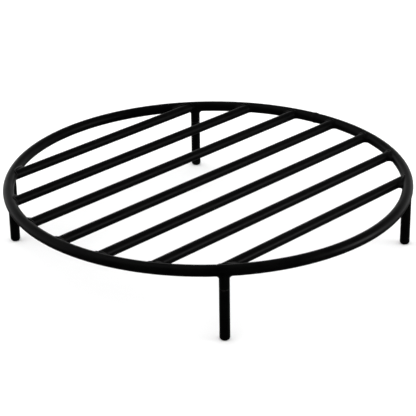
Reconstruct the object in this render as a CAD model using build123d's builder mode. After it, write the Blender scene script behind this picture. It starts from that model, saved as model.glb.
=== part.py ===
from build123d import *
import os
from math import cos, radians, sin, sqrt

# Round grate for a fire pit, in black steel rod. A hoop carries seven parallel bars,
# butt-welded inside it. Four legs screw up into short sockets that are welded under the
# hoop, on hidden studs, so that the grate packs flat.
# Frame: millimetres, +Z up, floor at Z = 0, hoop axis on Z, bars along Y, front at -Y.

# Hoop
ring_outer_diameter = 559.0
ring_rod_diameter = 15.0
grate_height = 103.0

# Bars, numbered from -X to +X
bar_count = 7
bar_rod_diameter = 13.5
bar_pitch = 67.5
bar_set_offset = -4.0        # the welded set of bars stands this far off the hoop's middle
bar_drop = 0.5               # bar centrelines lie this far below the hoop's

# Legs: each is a short fixed socket and a long rod that screws up against it
leg_rod_diameter = 13.5
leg_angle = 48.4             # degrees between the Y axis and each leg, seen from above
seam_drop = 24.6             # from the hoop's centreline down to the seam
seam_chamfer = 0.7
foot_rounding = 3.2

# Studs, M8 x 1.25, drawn at their outside diameter
stud_diameter = 8.0
stud_in_socket = 12.0
stud_in_leg = 13.0
stud_chamfer = 0.8
stud_clearance = 0.05        # radial, between stud and hole
hole_runout = 1.5            # how much deeper each hole is than the stud in it

# Welds: each bead fills the corner out to this distance from both rods
weld_size = 2.2
socket_weld_top_drop = 3.0   # the beads at the sockets stop this far below the centreline
closing_weld_rise = 0.7
closing_weld_arc = 1.8       # degrees of the hoop that the bead covers
closing_weld_angle = 97.0    # degrees from the +X axis to its start, between two bars

# Worked-out places
ring_rod_radius = ring_rod_diameter / 2
bar_rod_radius = bar_rod_diameter / 2
leg_rod_radius = leg_rod_diameter / 2
ring_radius = ring_outer_diameter / 2 - ring_rod_radius
ring_centre_height = grate_height - ring_rod_radius
bar_centre_height = ring_centre_height - bar_drop
seam_height = ring_centre_height - seam_drop
hole_radius = stud_diameter / 2 + stud_clearance
leg_x = ring_radius * sin(radians(leg_angle))
leg_y = ring_radius * cos(radians(leg_angle))
leg_places = {
    "front_right": (leg_x, -leg_y),
    "back_right": (leg_x, leg_y),
    "back_left": (-leg_x, leg_y),
    "front_left": (-leg_x, -leg_y),
}


def bar_x(number):
    """Place of a bar across the hoop; bars are numbered from 1."""
    return bar_set_offset + (number - (bar_count + 1) / 2) * bar_pitch


def hoop(rod_radius):
    """A full hoop of round rod on the ring's centreline."""
    with BuildPart() as made:
        with BuildSketch(Plane.XZ):
            with Locations((ring_radius, ring_centre_height)):
                Circle(rod_radius)
        revolve(axis=Axis.Z)
    return made


def bar(number):
    """A straight rod whose two ends are coped to the hoop's inner side."""
    x = bar_x(number)
    middle = Plane(origin=(x, 0, bar_centre_height), z_dir=(0, 1, 0))
    with BuildPart() as made:
        with BuildSketch(middle):
            Circle(bar_rod_radius)
        extrude(amount=sqrt(ring_radius**2 - x**2), both=True)
        add(ring.part, mode=Mode.SUBTRACT)
    return made


def bar_end_weld(number, side):
    """The bead round one end of a bar; side is 1 at the back and -1 at the front.

    It lies inside the hoop's crown, and stops at a leg socket that stands beside the bar.
    """
    middle = Plane(origin=(bar_x(number), 0, bar_centre_height), z_dir=(0, side, 0))
    with BuildPart() as made:
        with BuildSketch(middle):
            Circle(bar_rod_radius + weld_size)
        extrude(amount=ring_radius)
        add(inner_weld_reach.part, mode=Mode.INTERSECT)
        add(ring.part, mode=Mode.SUBTRACT)
        add(bars[number].part, mode=Mode.SUBTRACT)
        for place, (socket_x, socket_y) in leg_places.items():
            if bars[number] is outer_bar(socket_x) and socket_y * side > 0:
                add(sockets[place].part, mode=Mode.SUBTRACT)
    return made


def leg_socket(x, y):
    """A short rod coped up to the hoop and the bar beside it, with a blind hole below."""
    seam_facing_down = Plane(origin=(x, y, seam_height), z_dir=(0, 0, -1))
    with BuildPart() as made:
        with BuildSketch(Plane.XY.offset(seam_height)):
            with Locations((x, y)):
                Circle(leg_rod_radius)
        extrude(amount=seam_drop)
        chamfer(made.edges().group_by(Axis.Z)[0], seam_chamfer)
        with Locations(seam_facing_down):
            Hole(hole_radius, depth=stud_in_socket + hole_runout)
        add(ring.part, mode=Mode.SUBTRACT)
        add(outer_bar(x).part, mode=Mode.SUBTRACT)
    return made


def leg_socket_weld(x, y, socket):
    """The bead round the top of a socket, under the hoop."""
    foot_of_bead = ring_centre_height - ring_rod_radius - weld_size
    bead_height = ring_rod_radius + weld_size - socket_weld_top_drop
    with BuildPart() as made:
        with BuildSketch(Plane.XY.offset(foot_of_bead)):
            with Locations((x, y)):
                Circle(leg_rod_radius + weld_size)
        extrude(amount=bead_height)
        add(weld_reach.part, mode=Mode.INTERSECT)
        add(ring.part, mode=Mode.SUBTRACT)
        add(outer_bar(x).part, mode=Mode.SUBTRACT)
        add(bar_end_welds.part, mode=Mode.SUBTRACT)
        add(socket.part, mode=Mode.SUBTRACT)
    return made


def leg_stud(x, y):
    """A plain stud, half in the leg rod and half in the socket."""
    with BuildPart() as made:
        with BuildSketch(Plane.XY.offset(seam_height - stud_in_leg)):
            with Locations((x, y)):
                Circle(stud_diameter / 2)
        extrude(amount=stud_in_leg + stud_in_socket)
        chamfer(made.edges().filter_by(GeomType.CIRCLE), stud_chamfer)
    return made


def leg_rod(x, y):
    """A rod from the floor to the seam, rounded at its foot, with a blind hole on top."""
    with BuildPart() as made:
        with BuildSketch(Plane.XY):
            with Locations((x, y)):
                Circle(leg_rod_radius)
        extrude(amount=seam_height)
        chamfer(made.edges().group_by(Axis.Z)[-1], seam_chamfer)
        fillet(made.edges().group_by(Axis.Z)[0], foot_rounding)
        with Locations((x, y, seam_height)):
            Hole(hole_radius, depth=stud_in_leg + hole_runout)
    return made


def closing_weld():
    """A low band round the hoop where its rolled rod was joined end to end."""
    along = radians(closing_weld_angle)
    outwards = (cos(along), sin(along), 0)
    sideways = (sin(along), -cos(along), 0)
    with BuildPart() as made:
        with BuildSketch(Plane(origin=(0, 0, 0), x_dir=outwards, z_dir=sideways)):
            with Locations((ring_radius, ring_centre_height)):
                Circle(ring_rod_radius + closing_weld_rise)
                Circle(ring_rod_radius, mode=Mode.SUBTRACT)
        revolve(axis=Axis.Z, revolution_arc=closing_weld_arc)
    return made


def outer_bar(x):
    """The outermost bar on the same side as x."""
    return bars[bar_count if x > 0 else 1]


def save(piece, name):
    """Label a finished piece and write its file."""
    piece.part.label = name
    export_step(piece.part, f"parts/{name}.step")


os.makedirs("parts", exist_ok=True)

ring = hoop(ring_rod_radius)
weld_reach = hoop(ring_rod_radius + weld_size)
with BuildPart() as inner_weld_reach:
    add(weld_reach.part)
    with BuildSketch(Plane.XY.offset(ring_centre_height - ring_rod_diameter)):
        Circle(ring_radius)
    extrude(amount=2 * ring_rod_diameter, mode=Mode.INTERSECT)
save(ring, "ring")

bars = {number: bar(number) for number in range(1, bar_count + 1)}
for number, piece in bars.items():
    save(piece, f"bar_{number}")

sockets = {place: leg_socket(*xy) for place, xy in leg_places.items()}
with BuildPart() as bar_end_welds:
    for number in bars:
        for side in (-1, 1):
            add(bar_end_weld(number, side).part)
save(bar_end_welds, "bar_end_welds")

with BuildPart() as leg_socket_welds:
    for place, xy in leg_places.items():
        add(leg_socket_weld(*xy, sockets[place]).part)
save(leg_socket_welds, "leg_socket_welds")
save(closing_weld(), "ring_closing_weld")

for place, xy in leg_places.items():
    save(sockets[place], f"leg_socket_{place}")
    save(leg_stud(*xy), f"leg_stud_{place}")
    save(leg_rod(*xy), f"leg_rod_{place}")
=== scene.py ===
import math
import random

import bmesh
import bpy
from mathutils import Euler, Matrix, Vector


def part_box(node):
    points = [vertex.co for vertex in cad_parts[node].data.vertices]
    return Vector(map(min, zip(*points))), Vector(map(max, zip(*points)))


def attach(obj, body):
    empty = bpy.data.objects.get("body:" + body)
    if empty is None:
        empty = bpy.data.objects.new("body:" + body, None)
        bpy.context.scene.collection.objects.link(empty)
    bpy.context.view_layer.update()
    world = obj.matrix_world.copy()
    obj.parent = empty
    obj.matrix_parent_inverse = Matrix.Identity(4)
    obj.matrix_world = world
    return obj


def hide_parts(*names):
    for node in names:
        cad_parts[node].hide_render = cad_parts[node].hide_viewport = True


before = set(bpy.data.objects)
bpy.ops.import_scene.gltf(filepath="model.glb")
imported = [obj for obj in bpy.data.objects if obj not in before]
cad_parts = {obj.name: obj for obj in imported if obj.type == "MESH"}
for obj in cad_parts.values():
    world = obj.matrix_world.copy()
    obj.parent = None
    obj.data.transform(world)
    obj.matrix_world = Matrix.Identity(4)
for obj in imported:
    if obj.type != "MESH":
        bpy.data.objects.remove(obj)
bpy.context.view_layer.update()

# The round grate of a fire pit: a hoop of black steel rod, seven bars welded inside it and
# four legs that screw up against short sockets. Everything is in metres in the row's frame:
# floor at Z = 0, hoop axis on Z, bars along Y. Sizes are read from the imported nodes.

MM = 0.001
LEGS = ("front_right", "back_right", "back_left", "front_left")
BARS = tuple(f"bar_{number}" for number in range(1, 8))

# Sizes of the hoop, the bars and the legs, from the boxes of their nodes
ring_low, ring_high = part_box("ring")
RING_ROD = (ring_high.z - ring_low.z) / 2
RING_RADIUS = ring_high.x - RING_ROD
RING_HEIGHT = (ring_high.z + ring_low.z) / 2
bar_low, bar_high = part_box("bar_4")
BAR_ROD = (bar_high.z - bar_low.z) / 2
BAR_HEIGHT = (bar_high.z + bar_low.z) / 2
leg_low, leg_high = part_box("leg_rod_front_right")
LEG_ROD = (leg_high.x - leg_low.x) / 2
SEAM_HEIGHT = leg_high.z
stud_low, stud_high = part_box("leg_stud_front_right")
STUD_RADIUS = (stud_high.x - stud_low.x) / 2

# The M8 thread: its depth, the chamfer at its two ends, the shares of a half pitch that its flat
# crest and its sloping flank take, and how finely the helix is cut
THREAD_PITCH = 1.25 * MM
THREAD_DEPTH = 0.68 * MM
THREAD_END = 0.3 * MM
THREAD_CREST = 0.12
THREAD_FLANK = 0.66
THREAD_SIDES = 48
THREAD_LEVELS = 12

# The weld beads: the radius of each in a square corner, how much fuller it is than a plain
# fillet and how much more so on top, its ripples, its unevenness, how far its two edges sink
# into the rods, where its hidden root lies as a share of the rod's radius, and a length past
# any bead
BAR_WELD_SIZE = 7.0 * MM
SOCKET_WELD_SIZE = 4.0 * MM
CLOSING_WELD_WIDTH = 8.5 * MM
CLOSING_WELD_RISE = 0.6 * MM
WELD_SWELL = 0.2 * MM
WELD_TOP_SWELL = 3.5
WELD_RIPPLE = 0.06 * MM
WELD_RIPPLE_PITCH = 1.9 * MM
WELD_SIZE_LUMP = 0.02
WELD_SWELL_LUMP = 0.4
CLOSING_RISE_LUMP = 0.15
CLOSING_WIDTH_LUMP = 0.08
RIPPLE_BEND = 2.2
WELD_SINK = 0.15 * MM
WELD_ROOT = 0.6
CLOSING_ROOT = 0.7
FARTHEST = 10 * RING_ROD
WELD_TURNS = 120
WELD_STEPS = 16


# ---------------------------------------------------------------- materials

def new_material(name):
    """An empty node material with its Principled shader, and a function that adds nodes."""
    material = bpy.data.materials.new(name)
    material.use_nodes = True
    tree = material.node_tree
    shader = tree.nodes["Principled BSDF"]

    def node(kind, **values):
        made = tree.nodes.new(kind)
        for key, value in values.items():
            if key in made.inputs:
                made.inputs[key].default_value = value
            else:
                setattr(made, key, value)
        return made

    return material, tree.links.new, shader, node


def noise(node, link, place, scale, detail=3.0, roughness=0.5):
    """A noise texture on object coordinates; scale counts features per metre."""
    made = node("ShaderNodeTexNoise", Scale=scale, Detail=detail, Roughness=roughness)
    link(place, made.inputs["Vector"])
    return made.outputs["Fac"]


def spread(node, link, value, low, high, out_low, out_high):
    """Maps low..high of a value to out_low..out_high, and holds it outside that range."""
    made = node("ShaderNodeMapRange")
    made.inputs["From Min"].default_value = low
    made.inputs["From Max"].default_value = high
    made.inputs["To Min"].default_value = out_low
    made.inputs["To Max"].default_value = out_high
    link(value, made.inputs["Value"])
    return made.outputs["Result"]


def black_paint(name, wear_and_highlight_heights=()):
    """Satin black paint on steel rod, with fine orange peel, and lighter spotted bands at some heights
    that serve as scuffed wear and as a painted highlight on an edge.
    """
    material, link, shader, node = new_material(name)
    place = node("ShaderNodeTexCoord").outputs["Object"]
    peel = noise(node, link, place, 900.0, 2.0)
    patches = noise(node, link, place, 45.0, 4.0)
    tone = node("ShaderNodeMix", data_type="RGBA")
    tone.inputs["A"].default_value = (0.0007, 0.0007, 0.0008, 1)
    tone.inputs["B"].default_value = (0.0016, 0.0016, 0.0015, 1)
    link(spread(node, link, patches, 0.35, 0.7, 0.0, 1.0), tone.inputs["Factor"])
    colour = tone.outputs["Result"]
    split = node("ShaderNodeSeparateXYZ")
    link(place, split.inputs["Vector"])
    # Each height gets a lighter spotted band: at the feet it is scuffed paint, and at the socket seam
    # it is a painted highlight where the chamfer edge would catch the light.
    for height in wear_and_highlight_heights:
        gap = node("ShaderNodeMath", operation="SUBTRACT")
        gap.inputs[1].default_value = height
        link(split.outputs["Z"], gap.inputs[0])
        away = node("ShaderNodeMath", operation="ABSOLUTE")
        link(gap.outputs["Value"], away.inputs[0])
        near = spread(node, link, away.outputs["Value"], 0.4 * MM, 1.6 * MM, 1.0, 0.0)
        wear_and_highlight_mask = node("ShaderNodeMath", operation="MULTIPLY")
        link(near, wear_and_highlight_mask.inputs[0])
        wear_and_highlight_spots = noise(node, link, place, 500.0)
        link(spread(node, link, wear_and_highlight_spots, 0.4, 0.6, 0.1, 0.9), wear_and_highlight_mask.inputs[1])
        wear_and_highlight_colour = node("ShaderNodeMix", data_type="RGBA")
        wear_and_highlight_colour.inputs["B"].default_value = (0.012, 0.0115, 0.011, 1)
        link(wear_and_highlight_mask.outputs["Value"], wear_and_highlight_colour.inputs["Factor"])
        link(colour, wear_and_highlight_colour.inputs["A"])
        colour = wear_and_highlight_colour.outputs["Result"]
    link(colour, shader.inputs["Base Color"])
    link(spread(node, link, patches, 0.3, 0.7, 0.3, 0.4), shader.inputs["Roughness"])
    bump = node("ShaderNodeBump", Strength=0.12, Distance=0.00025)
    link(peel, bump.inputs["Height"])
    link(bump.outputs["Normal"], shader.inputs["Normal"])
    shader.inputs["Specular IOR Level"].default_value = 0.06
    return material


def zinc_steel():
    """Bright zinc-plated screw steel."""
    material, link, shader, node = new_material("zinc_stud")
    place = node("ShaderNodeTexCoord").outputs["Object"]
    patches = noise(node, link, place, 350.0, 4.0)
    tone = node("ShaderNodeMix", data_type="RGBA")
    tone.inputs["A"].default_value = (0.46, 0.45, 0.42, 1)
    tone.inputs["B"].default_value = (0.62, 0.61, 0.6, 1)
    link(patches, tone.inputs["Factor"])
    link(tone.outputs["Result"], shader.inputs["Base Color"])
    link(spread(node, link, patches, 0.3, 0.7, 0.24, 0.42), shader.inputs["Roughness"])
    shader.inputs["Metallic"].default_value = 1.0
    return material


def floor_material():
    """Plain matt white studio floor."""
    material, _, shader, _ = new_material("studio_floor")
    shader.inputs["Base Color"].default_value = (0.9, 0.9, 0.9, 1)
    shader.inputs["Roughness"].default_value = 0.9
    shader.inputs["Specular IOR Level"].default_value = 0.1
    return material


# ---------------------------------------------------------------- camera and light

# The level way from the grate towards the photograph's camera side
CAMERA_SIDE = (0.707, -0.707, 0)


def make_camera():
    """The photographed view: from the front right, a little above the grate."""
    azimuth = math.radians(44.60)
    elevation = math.radians(24.15)
    distance = 2.1246
    look_down = math.radians(1.076)
    roll = math.radians(-0.845)
    back = Vector((
        math.sin(azimuth) * math.cos(elevation),
        -math.cos(azimuth) * math.cos(elevation),
        math.sin(elevation),
    ))
    data = bpy.data.cameras.new("camera")
    data.lens = 134.08
    data.sensor_width = 36.0
    camera = bpy.data.objects.new("camera", data)
    bpy.context.scene.collection.objects.link(camera)
    camera.location = Vector((0, 0, RING_HEIGHT)) + back * distance
    aim = (-back).to_track_quat("-Z", "Y")
    tilt = Euler((-look_down, 0, 0)).to_quaternion()
    turn = Euler((0, 0, roll)).to_quaternion()
    camera.rotation_mode = "QUATERNION"
    camera.rotation_quaternion = aim @ turn @ tilt
    data.clip_start = 0.05
    bpy.context.scene.camera = camera


def area_light(name, place, size, power):
    """A square soft light that faces the grate, and that the camera never sees itself."""
    data = bpy.data.lights.new(name, "AREA")
    data.size = size
    data.energy = power
    light = bpy.data.objects.new(name, data)
    bpy.context.scene.collection.objects.link(light)
    light.location = place
    light.rotation_mode = "QUATERNION"
    light.rotation_quaternion = (-Vector(place)).to_track_quat("-Z", "Y")
    light.visible_camera = False


def overhead_light(name, place, spread_angle, power, in_reflections):
    """A wide soft light that falls evenly over the whole floor from the side of a place."""
    data = bpy.data.lights.new(name, "SUN")
    data.angle = spread_angle
    data.energy = power
    light = bpy.data.objects.new(name, data)
    bpy.context.scene.collection.objects.link(light)
    light.rotation_mode = "QUATERNION"
    light.rotation_quaternion = (-Vector(place)).to_track_quat("-Z", "Y")
    light.visible_glossy = in_reflections


def make_sky():
    """White studio walls, which reflect in the paint most at eye level and from behind.

    The camera itself sees them plain white all round.
    """
    world = bpy.data.worlds.new("studio")
    bpy.context.scene.world = world
    world.use_nodes = True
    tree = world.node_tree
    direction = tree.nodes.new("ShaderNodeTexCoord").outputs["Generated"]

    def share(value, bright, dim, least):
        fall = tree.nodes.new("ShaderNodeMapRange")
        fall.interpolation_type = "SMOOTHSTEP"
        fall.inputs["From Min"].default_value = bright
        fall.inputs["From Max"].default_value = dim
        fall.inputs["To Min"].default_value = 1.0
        fall.inputs["To Max"].default_value = least
        tree.links.new(value, fall.inputs["Value"])
        return fall.outputs["Result"]

    def product(first, second):
        made = tree.nodes.new("ShaderNodeMath")
        made.operation = "MULTIPLY"
        tree.links.new(first, made.inputs[0])
        tree.links.new(second, made.inputs[1])
        return made.outputs["Value"]

    split = tree.nodes.new("ShaderNodeSeparateXYZ")
    tree.links.new(direction, split.inputs["Vector"])
    front = tree.nodes.new("ShaderNodeVectorMath")
    front.operation = "DOT_PRODUCT"
    front.inputs[1].default_value = CAMERA_SIDE
    tree.links.new(direction, front.inputs[0])
    above = share(split.outputs["Z"], 0.05, 0.5, 0.15)
    below = share(split.outputs["Z"], -0.12, -0.42, 0.08)
    ahead = share(front.outputs["Value"], -0.1, 0.6, 0.08)
    seen = tree.nodes.new("ShaderNodeMix")
    seen.inputs["B"].default_value = 1.0
    path = tree.nodes.new("ShaderNodeLightPath")
    tree.links.new(path.outputs["Is Camera Ray"], seen.inputs["Factor"])
    tree.links.new(product(product(above, below), ahead), seen.inputs["A"])
    sky = tree.nodes["Background"]
    tree.links.new(seen.outputs["Result"], sky.inputs["Strength"])
    sky.inputs["Color"].default_value = (1, 1, 1, 1)


def make_studio():
    """A plain white floor under two wide overhead lights, with a card on either side."""
    bpy.context.scene.view_settings.view_transform = "Standard"
    make_sky()
    bpy.ops.mesh.primitive_plane_add(size=40)
    floor = bpy.context.object
    floor.name = "floor"
    floor.data.materials.append(floor_material())
    floor.visible_glossy = False
    overhead_light("ceiling", (0, 0, 1), math.radians(110), 3.6, False)
    overhead_light("key", (-1.6, -1.4, 2.6), math.radians(70), 0.6, True)
    area_light("right_card", (1.3, 0.9, 0.3), 0.7, 10)
    area_light("left_card", (-1.6, 0.4, 0.5), 0.9, 0.5)


# ---------------------------------------------------------------- weld beads

def hoop_distance(point):
    """Distance from a point to the hoop's surface, negative inside the rod."""
    across = math.hypot(point.x, point.y) - RING_RADIUS
    return math.hypot(across, point.z - RING_HEIGHT) - RING_ROD


def hoop_normal(point):
    """The way straight out of the hoop, at a point on it or near it."""
    across = math.hypot(point.x, point.y)
    flat = (across - RING_RADIUS) / across
    return Vector((point.x * flat, point.y * flat, point.z - RING_HEIGHT)).normalized()


def solve(function, low, high, steps=30):
    """Where a function changes from negative at low to positive at high."""
    for _ in range(steps):
        middle = (low + high) / 2
        if function(middle) > 0:
            high = middle
        else:
            low = middle
    return (low + high) / 2


def lumpiness(seed):
    """A smooth uneven wave round a full turn, about -1 to 1."""
    draw = random.Random(seed)
    waves = [(count, draw.uniform(0.15, 0.4), draw.uniform(0, math.tau)) for count in (2, 3, 5, 7)]
    return lambda angle: sum(share * math.sin(count * angle + phase) for count, share, phase in waves)


def weld_rows(foot, along, rod, size, seed):
    """Rings of points for one bead round a rod that is butted to the hoop.

    foot lies on the hoop's centreline and along points away from it. A ball that rolls round
    the joint touches the rod and the hoop. It has the bead's size in a square corner, and is
    larger in an open one. Each row goes from one touching point to the other over the ball's
    near side, then to a root inside both.
    """
    lump = lumpiness(seed)
    ripples = round(math.tau * rod / WELD_RIPPLE_PITCH)
    side = along.orthogonal().normalized()
    other = along.cross(side)
    rows = []
    for turn in range(WELD_TURNS):
        angle = math.tau * turn / WELD_TURNS
        outward = side * math.cos(angle) + other * math.sin(angle)
        edge = foot + outward * rod
        corner = edge + along * solve(lambda length: hoop_distance(edge + along * length), 0, FARTHEST)
        opening = along.angle(along.cross(outward).cross(hoop_normal(corner)))
        ball = size * math.sqrt(opening / (math.pi / 2)) * (1 + WELD_SIZE_LUMP * lump(angle))
        beside = foot + outward * (rod + ball)
        run = solve(lambda length: hoop_distance(beside + along * length) - ball, 0, FARTHEST)
        centre = beside + along * run
        to_rod = -outward
        to_hoop = -hoop_normal(centre)
        fan = to_rod.angle(to_hoop)
        top = WELD_TOP_SWELL * max(outward.z, 0) ** 2
        swell = WELD_SWELL * (1 + WELD_SWELL_LUMP * lump(angle + 2) + top)
        row = []
        for step in range(WELD_STEPS + 1):
            part = step / WELD_STEPS
            ray = to_rod * math.sin((1 - part) * fan) + to_hoop * math.sin(part * fan)
            body = math.sin(math.pi * part)
            ripple = WELD_RIPPLE * math.sin(ripples * angle + RIPPLE_BEND * body)
            sink = WELD_SINK if step in (0, WELD_STEPS) else 0
            row.append(centre + ray.normalized() * (ball - (swell + ripple) * body ** 2 + sink))
        inside = foot + outward * rod * WELD_ROOT
        depth = solve(lambda length: hoop_distance(inside + along * length) + MM, 0, FARTHEST)
        row.append(inside + along * depth)
        rows.append(row)
    return rows


def closing_weld_rows():
    """Rings of points for the bead that closes the bent hoop, side by side along it."""
    low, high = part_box("ring_closing_weld")
    facing = math.atan2((low.y + high.y) / 2, (low.x + high.x) / 2)
    half = CLOSING_WELD_WIDTH / 2 / RING_RADIUS
    lump = lumpiness(300)
    ripples = round(math.tau * RING_ROD / WELD_RIPPLE_PITCH)
    rows = []
    for turn in range(WELD_TURNS):
        angle = math.tau * turn / WELD_TURNS
        row = []
        for step in range(WELD_STEPS + 1):
            part = 2 * step / WELD_STEPS - 1
            body = 1 - part ** 2
            lumps = 1 + CLOSING_RISE_LUMP * (lump(angle) - 1)
            rise = CLOSING_WELD_RISE * lumps * body
            rise += WELD_RIPPLE * math.sin(ripples * angle + RIPPLE_BEND * body) * body
            sink = WELD_SINK if step in (0, WELD_STEPS) else 0
            along = facing + half * part * (1 + CLOSING_WIDTH_LUMP * lump(angle + 1))
            reach = RING_ROD + rise - sink
            flat = RING_RADIUS + reach * math.cos(angle)
            row.append(Vector((
                flat * math.cos(along), flat * math.sin(along), RING_HEIGHT + reach * math.sin(angle),
            )))
        flat = RING_RADIUS + CLOSING_ROOT * RING_ROD * math.cos(angle)
        height = RING_HEIGHT + CLOSING_ROOT * RING_ROD * math.sin(angle)
        row.append(Vector((flat * math.cos(facing), flat * math.sin(facing), height)))
        rows.append(row)
    return rows


def add_rows(mesh, rows):
    """Joins rings of points into one closed band of faces."""
    grid = [[mesh.verts.new(point) for point in row] for row in rows]
    count = len(grid[0])
    for index, row in enumerate(grid):
        following = grid[(index + 1) % len(grid)]
        for place in range(count):
            after = (place + 1) % count
            mesh.faces.new((row[place], row[after], following[after], following[place]))


def finish_mesh(mesh, name, material, slot, body, *nodes):
    """Turns a bmesh into a smooth piece that rides on a body in place of CAD nodes."""
    bmesh.ops.recalc_face_normals(mesh, faces=mesh.faces)
    data = bpy.data.meshes.new(name)
    mesh.to_mesh(data)
    mesh.free()
    for face in data.polygons:
        face.use_smooth = True
    data.materials.append(material)
    piece = bpy.data.objects.new(name, data)
    bpy.context.scene.collection.objects.link(piece)
    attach(piece, body)
    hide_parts(*nodes)


def make_bar_welds(material):
    """One bead at each end of each bar."""
    mesh = bmesh.new()
    for number, name in enumerate(BARS):
        low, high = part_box(name)
        x = (low.x + high.x) / 2
        end = math.sqrt(RING_RADIUS ** 2 - x ** 2)
        for side in (-1, 1):
            foot = Vector((x, side * end, BAR_HEIGHT))
            along = Vector((0, -side, 0))
            add_rows(mesh, weld_rows(foot, along, BAR_ROD, BAR_WELD_SIZE, 10 * number + side))
    finish_mesh(mesh, "bar_weld_beads", material, "weld_bead", "root", "bar_end_welds")


def make_socket_welds(material):
    """One bead under the hoop round the top of each socket."""
    mesh = bmesh.new()
    for number, leg in enumerate(LEGS):
        low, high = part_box(f"leg_socket_{leg}")
        foot = Vector(((low.x + high.x) / 2, (low.y + high.y) / 2, RING_HEIGHT))
        down = Vector((0, 0, -1))
        add_rows(mesh, weld_rows(foot, down, LEG_ROD, SOCKET_WELD_SIZE, 200 + number))
    finish_mesh(mesh, "socket_weld_beads", material, "weld_bead", "root", "leg_socket_welds")


def make_closing_weld(material):
    """The bead across the hoop where its bent rod meets itself."""
    mesh = bmesh.new()
    add_rows(mesh, closing_weld_rows())
    finish_mesh(mesh, "closing_weld_bead", material, "weld_bead", "root", "ring_closing_weld")


# ---------------------------------------------------------------- threaded studs

def thread_radius(turns, from_end):
    """Radius of a screw thread at a count of pitches along it, pointed at its two ends."""
    phase = abs((turns % 1.0) * 2 - 1)
    flank = min(max((phase - THREAD_CREST) / THREAD_FLANK, 0.0), 1.0)
    full = STUD_RADIUS - THREAD_DEPTH * flank
    return min(full, STUD_RADIUS - THREAD_DEPTH - THREAD_END + from_end)


def make_stud(leg, material):
    """The M8 threaded stud of one leg, its thread cut as a helix."""
    low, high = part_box(f"leg_stud_{leg}")
    x = (low.x + high.x) / 2
    y = (low.y + high.y) / 2
    length = high.z - low.z
    levels = round(length / THREAD_PITCH * THREAD_LEVELS)
    mesh = bmesh.new()
    rings = []
    for level in range(levels + 1):
        rise = length * level / levels
        ring = []
        for index in range(THREAD_SIDES):
            angle = math.tau * index / THREAD_SIDES
            turns = rise / THREAD_PITCH - index / THREAD_SIDES
            radius = thread_radius(turns, min(rise, length - rise))
            ring.append(mesh.verts.new((
                x + radius * math.cos(angle), y + radius * math.sin(angle), low.z + rise,
            )))
        rings.append(ring)
    for ring, above in zip(rings, rings[1:]):
        for index in range(THREAD_SIDES):
            after = (index + 1) % THREAD_SIDES
            mesh.faces.new((ring[index], ring[after], above[after], above[index]))
    mesh.faces.new(rings[0])
    mesh.faces.new(rings[-1])
    name = f"threaded_stud_{leg}"
    finish_mesh(mesh, name, material, "stud_steel", f"leg_{leg}", f"leg_stud_{leg}")


# ---------------------------------------------------------------- the grate

paint = black_paint("black_paint")
# Legs and sockets: scuffed paint at the feet, and a painted highlight band along the seam chamfer.
leg_paint = black_paint("leg_paint", (0.0, SEAM_HEIGHT))
zinc = zinc_steel()
for name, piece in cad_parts.items():
    piece.data.materials.clear()
    if name.startswith("leg_stud"):
        piece.data.materials.append(zinc)
    elif name.startswith("leg_rod") or name.startswith("leg_socket_"):
        piece.data.materials.append(leg_paint)
    else:
        piece.data.materials.append(paint)
make_bar_welds(paint)
make_socket_welds(paint)
make_closing_weld(paint)
for leg in LEGS:
    make_stud(leg, zinc)

make_camera()
make_studio()
